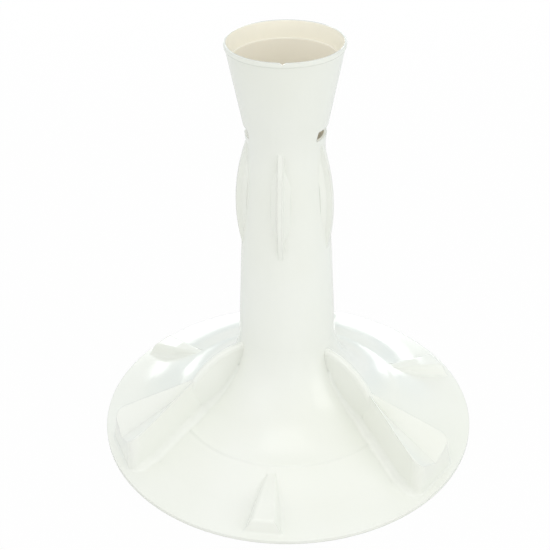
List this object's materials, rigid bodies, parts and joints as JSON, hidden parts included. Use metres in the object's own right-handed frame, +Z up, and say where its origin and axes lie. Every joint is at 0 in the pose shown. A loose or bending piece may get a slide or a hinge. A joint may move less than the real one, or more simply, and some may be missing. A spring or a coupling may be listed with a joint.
{
  "type": "washing machine agitator",
  "caption": "Tall hollow washing machine agitator: bell skirt with large valley-topped vanes and small wedges, ribbed post and flared open cup.",
  "frame": {"origin": "centre of the skirt rim's underside, on the axis of the post", "axes": "+Z up along the axis of the post and drive bore, one large vane along +Y, one small wedge along -Y"},
  "size_m": [0.36, 0.3598, 0.388],
  "materials": {
    "white_plastic": "gloss"
  },
  "bodies": {
    "root": {"agitator_body": "white_plastic"}
  },
  "joints": []
}
